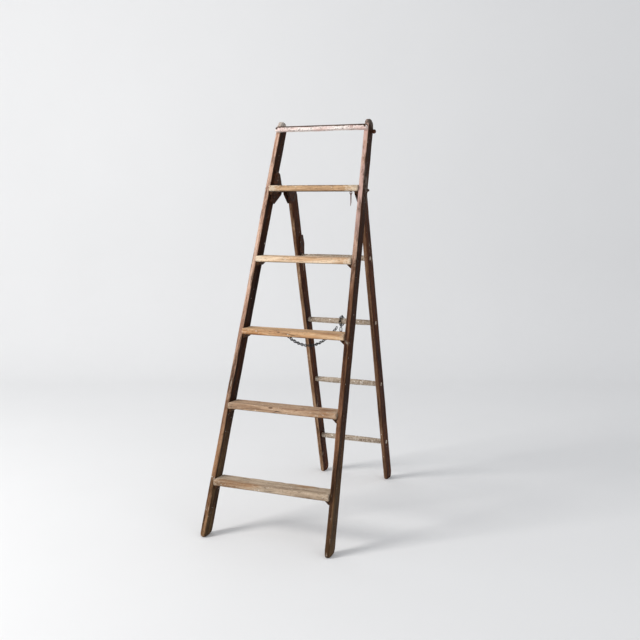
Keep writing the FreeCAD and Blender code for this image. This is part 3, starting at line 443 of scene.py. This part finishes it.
def stile_material(side_name, side):
    """Dark side faces and tan fronts, browner towards the floor, spotted with paint. The dark sides are
    partly stain and partly painted shade; the tan fronts are partly bleached wood and partly painted light.
    """
    made, shade, shader, colour, height = wood(
        "stile_wood_" + side_name, 2, linear(22, 9, 3), linear(44, 21, 8), linear(80, 45, 22), 3 + side,
        stain=linear(165, 125, 95), stain_share=0.5)
    up = shade.axis(2)
    low_down = shade.step(up, -0.25, -0.75)
    olive = shade.ramp(height, ((0.16, linear(44, 30, 17)), (0.5, linear(80, 60, 38)),
                                (0.84, linear(112, 90, 62))))
    patch = shade.noise(shade.stretched((1, 1, 0.3), (side, 4, 2)), 8, 4, 0.6)
    lower = shade.math("MULTIPLY", low_down, shade.step(patch, 0.35, 0.6))
    colour = shade.mix(lower, colour, olive)
    # Front-facing faces get the tan: partly bleached wood, partly painted light where the key light falls.
    # The side faces stay dark, partly as painted shade.
    front = shade.step(shade.facing(1), -0.35, -0.8)
    tan = shade.ramp(height, ((0.16, linear(120, 84, 66)), (0.48, linear(202, 160, 137)),
                              (0.84, linear(228, 198, 178))))
    low_tone = (linear(66, 42, 26), linear(134, 96, 68), linear(176, 138, 104))
    if side > 0:
        low_tone = (linear(46, 25, 14), linear(98, 62, 42), linear(146, 108, 82))
    tan_low = shade.ramp(height, tuple(zip((0.16, 0.48, 0.84), low_tone)))
    darkens = (0.5, 0.1) if side > 0 else (0.3, -0.7)
    tan = shade.mix(shade.step(up, *darkens), tan, tan_low)
    dirt = shade.ragged(shade.noise(shade.stretched((1, 1, 0.25), (side * 2, 1, 7)), 14, 6, 0.68))
    bleached_and_lit_front = shade.math("MULTIPLY", front, shade.step(dirt, 0.42, 0.52, 0.22, 0.95))
    if side > 0:
        bleached_and_lit_front = shade.math("MULTIPLY", bleached_and_lit_front, shade.step(up, -0.78, -0.5, 0.35, 1.0))
    colour = shade.mix(bleached_and_lit_front, colour, tan)
    rub = shade.math("MULTIPLY", shade.attribute("edge_wear"), shade.step(dirt, 0.4, 0.6, 0.1, 0.65))
    colour = shade.mix(rub, colour, linear(158, 118, 82))
    spots = paint_spots(shade, 2, 7 + side, 80, 0.007, 0.3)
    fine = paint_spots(shade, 2, 11 + side, 230, 0.012, 0.4)
    flecks = shade.math("MULTIPLY", paint_flecks(shade, 2, 5 + side, 150, 0.63, 0.54), 0.55)
    splash = paint_patches(shade, 2, 5 + side, 34, 0.60, 0.64, 0.35)
    splash = shade.math("MULTIPLY", splash, shade.math("MULTIPLY", front, 0.6))
    dome = shade.math("MULTIPLY", shade.step(up, 0.888, 0.902),
                      paint_patches(shade, 2, 31, 55, 0.42, 0.47, 0.8))
    dome_tint = linear(92, 80, 72) if side > 0 else linear(196, 186, 176)
    coats = [(splash, linear(190, 178, 160)), (dome, dome_tint), (flecks, linear(206, 196, 180)),
             (fine, WHITE_PAINT), (spots, WHITE_PAINT)]
    if side > 0:
        upper = shade.math("MULTIPLY", shade.step(up, 0.25, 0.6), front)
        pink = shade.math("MULTIPLY", paint_patches(shade, 2, 9, 22, 0.42, 0.52, 0.3), upper)
        coats.insert(0, (shade.math("MULTIPLY", pink, 0.8), PINK_PAINT))
        beside = shade.math("MULTIPLY", shade.step(up, 0.50, 0.60), shade.step(up, 0.74, 0.66))
        beside = shade.math("MULTIPLY", beside, shade.step(shade.facing(0), 0.6, 0.85))
        scraped = shade.math("MULTIPLY", paint_patches(shade, 2, 37, 42, 0.50, 0.56, 0.5), beside)
        coats.insert(0, (shade.math("MULTIPLY", scraped, 0.5), linear(132, 120, 110)))
    finish_wood(shade, shader, colour, height, (0.5, 0.8), 0.55, coats)
    return made


def leg_material(side_name, side):
    """Reddish-brown stained rear legs, lighter on the fronts and scuffed."""
    made, shade, shader, colour, height = wood(
        "leg_wood_" + side_name, 2, linear(30, 13, 6), linear(62, 31, 15), linear(102, 58, 32), 13 + side,
        stain=linear(165, 120, 90), stain_share=0.5)
    front = shade.step(shade.facing(1), -0.3, -0.8)
    tan = shade.ramp(height, ((0.16, linear(80, 52, 34)), (0.5, linear(150, 116, 88)),
                              (0.84, linear(194, 166, 136))))
    dirt = shade.ragged(shade.noise(shade.stretched((1, 1, 0.25), (side * 3, 1, 2)), 12, 6, 0.68))
    keep = 0.95 if side < 0 else 0.3
    colour = shade.mix(shade.math("MULTIPLY", front, shade.step(dirt, 0.36, 0.56, 0.15, keep)), colour, tan)
    rub = shade.math("MULTIPLY", shade.attribute("edge_wear"), shade.step(dirt, 0.4, 0.6, 0.1, 0.6))
    colour = shade.mix(rub, colour, linear(150, 104, 70))
    spots = shade.math("MULTIPLY", paint_flecks(shade, 2, 17 + side, 140, 0.64, 0.54), 0.6)
    fine = paint_spots(shade, 2, 21 + side, 230, 0.012, 0.4)
    smear = shade.math("MULTIPLY", paint_patches(shade, 2, 25 + side, 30, 0.62, 0.68, 0.4), 0.55)
    finish_wood(shade, shader, colour, height, (0.48, 0.78), 0.55,
                [(smear, linear(172, 156, 134)), (fine, WHITE_PAINT), (spots, WHITE_PAINT)])
    return made


TREAD_TONES = {
    # number: dark, mid and light of the wood, and the strength of its reddish stains
    1: ((108, 92, 76), (174, 153, 130), (203, 184, 162), 0.12),
    2: ((112, 86, 66), (180, 148, 120), (210, 182, 154), 0.4),
    3: ((128, 90, 60), (204, 164, 124), (234, 200, 160), 0.2),
    4: ((150, 116, 86), (232, 204, 172), (250, 230, 202), 0.1),
    5: ((130, 94, 62), (208, 172, 134), (234, 204, 166), 0.2),
}


def tread_material(number):
    """Bare softwood rubbed by feet, greyer low down, with old drips and painted ends, and painted shade on
    the faces turned down.
    """
    dark, mid, light, red = TREAD_TONES[number]
    made, shade, shader, colour, height = wood(
        "tread_wood_%d" % number, 0, linear(*dark), linear(*mid), linear(*light), 30 + number * 3,
        stain=linear(222, 200, 180), stain_share=0.35)
    blush = shade.noise(shade.stretched((0.25, 1, 1), (number, 2, 3)), 16, 4, 0.6)
    reddened = shade.step(shade.ragged(blush), 0.52, 0.66, 0.0, red * 0.7)
    colour = shade.mix(reddened, colour, linear(164, 122, 94))
    # Painted shade: faces turned down are darkened, as the treads' undersides lie in shade.
    under = shade.step(shade.facing(2), -0.4, -0.8)
    colour = shade.mix(shade.math("MULTIPLY", under, 0.75), colour, linear(92, 66, 46))
    knots = shade.cells(shade.stretched((0.5, 1.0, 1.0), (number * 3.1, 1, 1)), 13)
    colour = shade.mix(shade.step(knots, 0.10, 0.055, 0.0, 0.8), colour, linear(70, 42, 28))
    scuff = shade.noise(shade.stretched((0.4, 1, 1), (number, 9, 1)), 60, 5, 0.7)
    colour = shade.mix(shade.step(scuff, 0.60, 0.72, 0.0, 0.55), colour, linear(86, 62, 46))
    across = shade.math("ABSOLUTE", shade.axis(0))
    ends = {5: (0.135, 0.175), 4: (0.17, 0.2), 3: (0.19, 0.23)}.get(number, (0.21, 0.26))
    mottle = shade.noise(shade.stretched(grain_scale(0, 1.0, 0.6), (number, 6, 2)), 120, 7, 0.76, 0.4)
    nearer = shade.math("MULTIPLY", shade.step(across, ends[0] - 0.03, ends[1] + 0.03), 0.24)
    end_paint = shade.step(shade.math("ADD", mottle, nearer), 0.66, 0.69)
    dirt = shade.noise(shade.stretched(grain_scale(0, 1.0, 0.5), (number, 8, 5)), 70, 6, 0.72)
    dirt_near = shade.math("MULTIPLY", shade.step(across, ends[1] - 0.02, ends[1] + 0.04), 0.22)
    dirt_ends = shade.math("MULTIPLY", shade.step(shade.math("ADD", dirt, dirt_near), 0.62, 0.70), 0.45)
    colour = shade.mix(dirt_ends, colour, linear(120, 92, 70))
    if number == 5:
        speck = shade.step(shade.noise(shade.stretched((0.5, 1, 1), (3, 4, 5)), 190, 6, 0.72), 0.44, 0.52)
        rim = shade.math("MULTIPLY", shade.step(shade.axis(2), 0.0085, 0.0110), speck)
        rim = shade.math("MULTIPLY", rim, shade.step(shade.axis(1), -0.031, -0.036))
        colour = shade.mix(shade.math("MULTIPLY", rim, 0.8), colour, linear(84, 60, 44))
    spots = paint_flecks(shade, 0, 41 + number, 120, 0.62)
    fine = paint_spots(shade, 0, 47 + number, 200, 0.04, 0.4)
    strength = 0.6 if number >= 4 else 0.3
    finish_wood(shade, shader, colour, height, (0.55, 0.85), 0.5,
                [(shade.math("MULTIPLY", end_paint, strength), linear(228, 214, 192)),
                 (fine, WHITE_PAINT), (spots, WHITE_PAINT)])
    return made


def cleat_material():
    made, shade, shader, colour, height = wood(
        "cleat_wood", 1, linear(36, 22, 15), linear(66, 42, 28), linear(104, 72, 50), 61,
        stain=linear(140, 110, 90))
    rub = shade.math("MULTIPLY", shade.attribute("edge_wear"), 0.4)
    colour = shade.mix(rub, colour, linear(150, 116, 86))
    fine = paint_spots(shade, 1, 63, 200, 0.08, 0.4)
    finish_wood(shade, shader, colour, height, (0.6, 0.85), 0.5, [(fine, WHITE_PAINT)])
    return made


def rail_material():
    """Grey wood under pale pink-white paint, chipped away along the top."""
    made, shade, shader, colour, height = wood(
        "rail_wood", 0, linear(46, 32, 27), linear(86, 66, 56), linear(128, 106, 92), 71,
        stain=linear(150, 110, 100))
    up = shade.axis(2)
    chips = shade.noise(shade.stretched((0.45, 1, 1), (1, 2, 3)), 120, 8, 0.78, 0.5)
    bare_top = shade.step(up, 0.002, 0.0055, 0.0, 0.24)
    cover = shade.step(shade.math("SUBTRACT", chips, bare_top), 0.395, 0.415)
    flecks = shade.step(shade.noise(shade.stretched((0.6, 1, 1), (7, 2, 3)), 190, 7, 0.78), 0.555, 0.58)
    cover = shade.math("MULTIPLY", cover, shade.math("SUBTRACT", 1.0, shade.math("MULTIPLY", flecks, 0.8)))
    tint = shade.noise(shade.stretched((0.3, 1, 1), (4, 2, 3)), 30, 3)
    paint = shade.ramp(tint, ((0.38, linear(222, 192, 184)), (0.5, linear(240, 226, 219)),
                              (0.66, linear(247, 241, 236))))
    rust = shade.step(shade.noise(shade.stretched((0.5, 1, 1), (9, 2, 3)), 45, 4), 0.6, 0.7, 0.0, 0.6)
    paint = shade.mix(rust, paint, linear(150, 92, 84))
    finish_wood(shade, shader, colour, height, (0.5, 0.75), 0.45, [(cover, paint)])
    return made


def rung_material(number):
    """Turned rungs under layers of spattered pale paint, ringed where it ran."""
    made, shade, shader, colour, height = wood(
        "rung_wood_%d" % number, 0, linear(82, 64, 50), linear(142, 121, 101), linear(176, 154, 130),
        80 + number)
    spatter = shade.noise(shade.stretched((1, 1, 1), (number, 2, 3)), 210, 5, 0.75, 0.3)
    cover = shade.step(spatter, 0.44, 0.56, 0.0, 0.85)
    rings = shade.noise(shade.stretched((1.0, 0.04, 0.04), (number * 1.3, 0, 0)), 70, 3, 0.6)
    ring = shade.step(rings, 0.60, 0.66, 0.0, 0.9)
    across = shade.math("ABSOLUTE", shade.axis(0))
    ends = shade.step(across, 0.13, 0.16, 0.0, 0.8)
    dark_end = shade.math("MULTIPLY", ends, shade.step(spatter, 0.5, 0.4))
    fine = paint_spots(shade, 0, 91 + number, 150, 0.3, 0.5)
    finish_wood(shade, shader, colour, height, (0.55, 0.85), 0.6,
                [(cover, linear(204, 190, 173)), (ring, linear(228, 219, 205)), (fine, WHITE_PAINT),
                 (shade.math("MULTIPLY", dark_end, 0.6), linear(90, 66, 48))])
    return made


def iron(name, seed, base, light, rust, rust_share=0.5, smooth=0.5, paint_share=0.0, metal=0.3):
    """Blackened iron: mill scale, rubbed edges, rust in blotches and specks."""
    made, tree, shader = material(name)
    shade = Shade(tree)
    flat = shade.stretched((1, 1, 1), (seed, seed * 2, seed * 3))
    scale = shade.noise(flat, 260, 5, 0.6)
    blotch = shade.noise(flat, 70, 5, 0.65, 0.4)
    pits = shade.cells(flat, 900)
    colour = shade.ramp(scale, ((0.35, base), (0.62, light)))
    rusty = shade.step(blotch, 0.66 - 0.3 * rust_share, 0.80 - 0.3 * rust_share)
    bright_rust = tuple(min(1.0, value * 1.9) for value in rust)
    colour = shade.mix(rusty, colour, shade.ramp(scale, ((0.3, rust), (0.7, bright_rust))))
    if paint_share:
        spots = paint_spots(shade, 2, seed, 160, paint_share, 0.45)
        colour = shade.mix(spots, colour, linear(170, 160, 145))
    shade.link(colour, shader.inputs["Base Color"])
    clean = shade.math("SUBTRACT", 1.0, shade.math("MULTIPLY", rusty, 0.93))
    shade.link(shade.math("MULTIPLY", clean, metal), shader.inputs["Metallic"])
    shader.inputs["Specular IOR Level"].default_value = 0.2
    roughness = shade.step(shade.math("ADD", scale, rusty), 0.3, 1.4, smooth, 0.85)
    shade.link(roughness, shader.inputs["Roughness"])
    height = shade.math("ADD", shade.math("MULTIPLY", scale, 0.6), shade.math("MULTIPLY", pits, 0.4))
    shade.link(shade.bump(height, 0.45, 0.0005), shader.inputs["Normal"])
    return made


HINGE_IRON = iron("hinge_iron", 1, linear(30, 18, 12), linear(58, 39, 28), linear(72, 42, 27),
                  rust_share=0.75, smooth=0.62, paint_share=0.02, metal=0.08)
CHAIN_IRON = iron("chain_iron", 2, linear(9, 9, 10), linear(32, 29, 30), linear(42, 24, 18),
                  rust_share=0.3, smooth=0.45, metal=0.2)
HOOK_IRON = iron("hook_iron", 3, linear(52, 26, 22), linear(92, 50, 42), linear(96, 44, 30), rust_share=0.8)
FASTENER_IRON = iron("fastener_iron", 4, linear(36, 29, 25), linear(84, 72, 63), linear(80, 50, 35),
                     rust_share=0.6, metal=0.2)


# ---------------------------------------------------------------- the wooden pieces

def dress(obj, made):
    obj.data.materials.clear()
    obj.data.materials.append(made)


def build_front_boards():
    for side_name, side in (("left", -1), ("right", 1)):
        stile = worn_piece("stile_" + side_name, stile_turn(side), BOARD_VOXEL, 12, 10 + side,
                           grain=0.0003, nicks=45, nick_size=0.004)
        dress(stile, stile_material(side_name, side))
    for number in range(1, TREADS + 1):
        tread = worn_piece("tread_%d" % number, SQUARE_TURN, 0.0018, 14, 20 + number,
                           grain=0.0004, grain_axis=0, nicks=30, nick_size=0.005)
        dress(tread, tread_material(number))
    cleat_look = cleat_material()
    for number in range(1, TREADS + 1):
        for side_name in ("left", "right"):
            cleat = worn_piece("cleat_%s_%d" % (side_name, number), SQUARE_TURN, 0.0011, 10,
                               50 + number, grain=0.0002, grain_axis=1, nicks=8, nick_size=0.003)
            dress(cleat, cleat_look)
    rail = worn_piece("top_rail", FRONT_TURN, 0.0013, 22, 70, grain=0.00025, grain_axis=0,
                      nicks=40, nick_size=0.004)
    dress(rail, rail_material())


def build_legs():
    for side_name, side in (("left", -1), ("right", 1)):
        leg = worn_piece("rear_leg_" + side_name, REAR_TURN, BOARD_VOXEL, 12, 80 + side,
                         grain=0.0003, nicks=40, nick_size=0.004)
        dress(leg, leg_material(side_name, side))


def ring_radii(places):
    """The radius at each place along X of a turned piece, from its own rings."""
    rings = {}
    for x, y, z in places:
        key = round(x, 4)
        rings[key] = max(rings.get(key, 0.0), math.hypot(y, z))
    stations = sorted(rings)
    return stations, [rings[key] for key in stations]


RUNG_LUMPS = 0.00035             # height of the tool marks, in metres
RUNG_WAVES = 0.00022             # and of the slow waves along the rung
RUNG_INSET = 0.0007              # keeps both inside the solid's own radius


def build_rung(number):
    """A rung turned by hand: shallow tool marks, runs of paint, and its tenons' ends in the legs."""
    node = "rung_%d" % number
    mesh, matrix = local_copy(node, REAR_TURN)
    places, _ = mesh_arrays(mesh)
    stations, radii = ring_radii(places)
    end = stations[-1]
    around = 40
    along = 220
    made = bpy.data.meshes.new(node)
    points = []
    shift = Vector((number * 4.3, 1.0, 2.0))
    for index in range(along + 1):
        x = -end + 2 * end * index / along
        radius = float(np.interp(x, stations, radii))
        for turn in range(around):
            angle = 2 * math.pi * turn / around
            out = Vector((0, math.cos(angle), math.sin(angle)))
            spot = Vector((x * 160, out.y * 3, out.z * 3)) + shift
            lump = RUNG_LUMPS * noise.fractal(spot, 0.8, 2.0, 3)
            wave = RUNG_WAVES * noise.noise(Vector((x * 70, number, 0)))
            worn = radius - RUNG_INSET + lump + wave
            points.append((x, out.y * worn, out.z * worn))
    points.append((-end, 0, 0))
    points.append((end, 0, 0))
    faces = []
    for index in range(along):
        for turn in range(around):
            after = (turn + 1) % around
            low, high = index * around, (index + 1) * around
            faces.append((low + turn, low + after, high + after, high + turn))
    for turn in range(around):
        after = (turn + 1) % around
        faces.append((len(points) - 2, after, turn))
        last = along * around
        faces.append((len(points) - 1, last + turn, last + after))
    made.from_pydata(points, [], faces)
    for polygon in made.polygons:
        polygon.use_smooth = True
    store(made, "edge_wear", np.zeros(len(points)))
    made.update()
    obj = bpy.data.objects.new("turned_" + node, made)
    bpy.context.scene.collection.objects.link(obj)
    obj.matrix_world = matrix
    finish_piece(obj, node)
    dress(obj, rung_material(number))


# ---------------------------------------------------------------- the iron pieces

def islands(node):
    """The vertex places of each separate solid of a node."""
    places, edges = mesh_arrays(NODES[node].data)
    label = np.arange(len(places))
    keys = {}
    same = np.empty(len(places), np.int64)
    for index, place in enumerate(places):
        key = tuple(np.round(place, 6))
        same[index] = keys.setdefault(key, index)
    pairs = np.vstack([edges, np.stack([np.arange(len(places)), same], 1)])
    while True:
        low = np.minimum(label[pairs[:, 0]], label[pairs[:, 1]])
        before = label.copy()
        np.minimum.at(label, pairs[:, 0], low)
        np.minimum.at(label, pairs[:, 1], low)
        if (label == before).all():
            break
    return [places[label == value] for value in np.unique(label)]


def principal_axes(places):
    """The middle of some places and their axes, longest spread first."""
    middle = (places.min(0) + places.max(0)) / 2
    _, axes = np.linalg.eigh(np.cov((places - places.mean(0)).T))
    return Vector(middle), [Vector(axes[:, 2]), Vector(axes[:, 1]), Vector(axes[:, 0])]


def tube_mesh(lines, around):
    """Round bars along closed lines; each line is a list of (place, radius)."""
    points, faces = [], []
    for line in lines:
        count = len(line)
        start = len(points)
        normal = None
        for index in range(count):
            here, radius = line[index]
            way = (line[(index + 1) % count][0] - line[index - 1][0]).normalized()
            if normal is None:
                normal = way.orthogonal().normalized()
            normal = (normal - way * normal.dot(way)).normalized()
            side = way.cross(normal)
            for turn in range(around):
                angle = 2 * math.pi * turn / around
                points.append(here + (normal * math.cos(angle) + side * math.sin(angle)) * radius)
        for index in range(count):
            low = start + index * around
            high = start + ((index + 1) % count) * around
            for turn in range(around):
                after = (turn + 1) % around
                faces.append((low + turn, low + after, high + after, high + turn))
    made = bpy.data.meshes.new("bars")
    made.from_pydata([tuple(point) for point in points], [], faces)
    for polygon in made.polygons:
        polygon.use_smooth = True
    made.update()
    return made


def link_line(middle, way, side, length, width, wire, dice):
    """The centre line of one oval link, its sides a little bowed and its weld a little thick."""
    steps = 36
    bend = length / 2 - width / 2
    weld = dice.choice((-1, 1))
    line = []
    for index in range(steps):
        angle = 2 * math.pi * index / steps
        across = math.cos(angle)
        ahead = math.sin(angle)
        x = math.copysign(abs(across) ** 0.8, across) * (width / 2) * (0.94 + 0.06 * abs(ahead))
        y = ahead * width / 2 + math.copysign(bend, ahead) * min(1.0, abs(ahead) * 3.0)
        lump = 1.0 + 0.16 * math.exp(-((across - weld) * 3) ** 2 - (ahead * 4) ** 2)
        line.append((middle + side * x + way * y, wire * lump))
    return line


def build_chain():
    """Each link rebuilt as a welded oval of wire where the CAD link lies."""
    for node in sorted(NODES):
        if not node.startswith("chain_") or node == "chain_eye":
            continue
        dice = random.Random(sum(map(ord, node)))
        lines = []
        for places in islands(node):
            middle, (way, side, thin) = principal_axes(places)
            offsets = places - np.array(middle)
            half = [np.abs(offsets @ np.array(axis)).max() for axis in (way, side, thin)]
            wire = half[2]
            lines.append(link_line(middle, way, side, 2 * (half[0] - wire), 2 * (half[1] - wire), wire, dice))
        mesh = tube_mesh(lines, LINK_SIDES)
        obj = bpy.data.objects.new("links_" + node, mesh)
        bpy.context.scene.collection.objects.link(obj)
        finish_piece(obj, node)
        dress(obj, CHAIN_IRON)


IRON_PIECES = (
    # node, turn, voxel, rounds of wear, look
    ("hinge_plate_left", stile_turn(-1), 0.0010, 5, HINGE_IRON),
    ("hinge_plate_right", stile_turn(1), 0.0010, 5, HINGE_IRON),
    ("leg_iron_left", REAR_TURN, 0.0010, 5, HINGE_IRON),
    ("leg_iron_right", REAR_TURN, 0.0010, 5, HINGE_IRON),
    ("leg_strap_left", REAR_TURN, 0.0009, 5, HINGE_IRON),
    ("leg_strap_right", REAR_TURN, 0.0009, 5, HINGE_IRON),
    ("rung_brace_left", REAR_TURN, 0.0010, 6, HINGE_IRON),
    ("rung_brace_right", REAR_TURN, 0.0010, 6, HINGE_IRON),
    ("rail_knob", SQUARE_TURN, 0.0006, 6, HINGE_IRON),
    ("pivot_nuts", SQUARE_TURN, 0.0006, 5, HINGE_IRON),
    ("pivot_rod", SQUARE_TURN, 0.0008, 3, HINGE_IRON),
    ("pivot_sleeve_left", SQUARE_TURN, 0.0007, 3, HINGE_IRON),
    ("pivot_sleeve_right", SQUARE_TURN, 0.0007, 3, HINGE_IRON),
    ("hinge_bolts_left", stile_turn(-1), 0.0006, 6, FASTENER_IRON),
    ("hinge_bolts_right", stile_turn(1), 0.0006, 6, FASTENER_IRON),
    ("iron_rivet_left", REAR_TURN, 0.0006, 6, FASTENER_IRON),
    ("iron_rivet_right", REAR_TURN, 0.0006, 6, FASTENER_IRON),
    ("strap_screws_left", REAR_TURN, 0.0006, 6, FASTENER_IRON),
    ("strap_screws_right", REAR_TURN, 0.0006, 6, FASTENER_IRON),
    ("tread_nails_left", stile_turn(-1), 0.0006, 4, FASTENER_IRON),
    ("tread_nails_right", stile_turn(1), 0.0006, 4, FASTENER_IRON),
    ("rail_screws", FRONT_TURN, 0.0005, 5, FASTENER_IRON),
    ("hook_eye", SQUARE_TURN, 0.0004, 2, HOOK_IRON),
    ("chain_eye", SQUARE_TURN, 0.0004, 2, FASTENER_IRON),
    ("hook", SQUARE_TURN, 0.0004, 3, HOOK_IRON),
)


def build_irons():
    for index, (node, turn, voxel, wear, look) in enumerate(IRON_PIECES):
        piece = worn_piece(node, turn, voxel, wear, 100 + index, nicks=6, nick_size=0.002)
        dress(piece, look)


# ---------------------------------------------------------------- studio

CAMERA_PLACE = (1.5555, -3.6139, 1.3960)
CAMERA_YAW = 23.02
CAMERA_PITCH = -7.784
CAMERA_LENS = 50.12


def plain_material(name, colour, rough):
    made, tree, shader = material(name)
    shade = Shade(tree)
    cloud = shade.noise(shade.stretched((1, 1, 1)), 1.2, 3)
    tint = shade.ramp(cloud, ((0.3, tuple(v * 0.985 for v in colour)), (0.7, colour)))
    shade.link(tint, shader.inputs["Base Color"])
    shader.inputs["Roughness"].default_value = rough
    shader.inputs["Specular IOR Level"].default_value = 0.2
    return made


def build_backdrop():
    """A pale floor that curves up into a pale wall, square to the camera."""
    floor_front, floor_back, bend, high, half = -7.0, 3.6, 0.9, 7.0, 9.0
    profile = [(floor_front, 0.0), (floor_back - bend, 0.0)]
    bend_steps = 12
    for step in range(1, bend_steps + 1):
        angle = math.pi / 2 * step / bend_steps
        profile.append((floor_back - bend + bend * math.sin(angle), bend - bend * math.cos(angle)))
    profile.append((floor_back, high))
    points = []
    for y, z in profile:
        points.append((-half, y, z))
        points.append((half, y, z))
    faces = [(2 * i, 2 * i + 1, 2 * i + 3, 2 * i + 2) for i in range(len(profile) - 1)]
    mesh = bpy.data.meshes.new("backdrop")
    mesh.from_pydata(points, [], faces)
    for polygon in mesh.polygons:
        polygon.use_smooth = True
    mesh.update()
    obj = bpy.data.objects.new("backdrop", mesh)
    bpy.context.scene.collection.objects.link(obj)
    obj.rotation_euler = (0, 0, math.radians(CAMERA_YAW))
    obj.location = (0, 0, cad_box[0][2])
    dress(obj, plain_material("studio_paper", (0.85, 0.85, 0.853), 0.9))


def area_light(name, place, target, power, size, colour):
    light = bpy.data.lights.new(name, "AREA")
    light.energy = power
    light.shape = "RECTANGLE"
    light.size, light.size_y = size
    light.color = colour
    obj = bpy.data.objects.new(name, light)
    bpy.context.scene.collection.objects.link(obj)
    obj.location = place
    obj.rotation_euler = (Vector(target) - Vector(place)).to_track_quat("-Z", "Y").to_euler()


def build_lights():
    world = bpy.data.worlds.new("studio")
    bpy.context.scene.world = world
    world.use_nodes = True
    background = world.node_tree.nodes["Background"]
    background.inputs["Color"].default_value = (0.95, 0.97, 1.0, 1)
    background.inputs["Strength"].default_value = 0.64
    area_light("key", (-3.4, -3.6, 3.6), (0, 0, 0.8), 205, (1.8, 2.2), (1.0, 0.985, 0.96))
    area_light("fill", (4.5, -3.0, 2.6), (0, 0, 1.0), 12, (2.5, 2.5), (0.95, 0.97, 1.0))


def build_camera():
    data = bpy.data.cameras.new("camera")
    data.lens = CAMERA_LENS
    data.sensor_width = 36.0
    data.dof.use_dof = False
    camera = bpy.data.objects.new("camera", data)
    bpy.context.scene.collection.objects.link(camera)
    camera.location = CAMERA_PLACE
    camera.rotation_euler = (math.radians(90 + CAMERA_PITCH), 0, math.radians(CAMERA_YAW))
    bpy.context.scene.camera = camera


bpy.context.scene.view_settings.view_transform = "Standard"
build_front_boards()
build_legs()
for rung_number in range(1, RUNGS + 1):
    build_rung(rung_number)
build_irons()
build_chain()
build_backdrop()
build_lights()
build_camera()
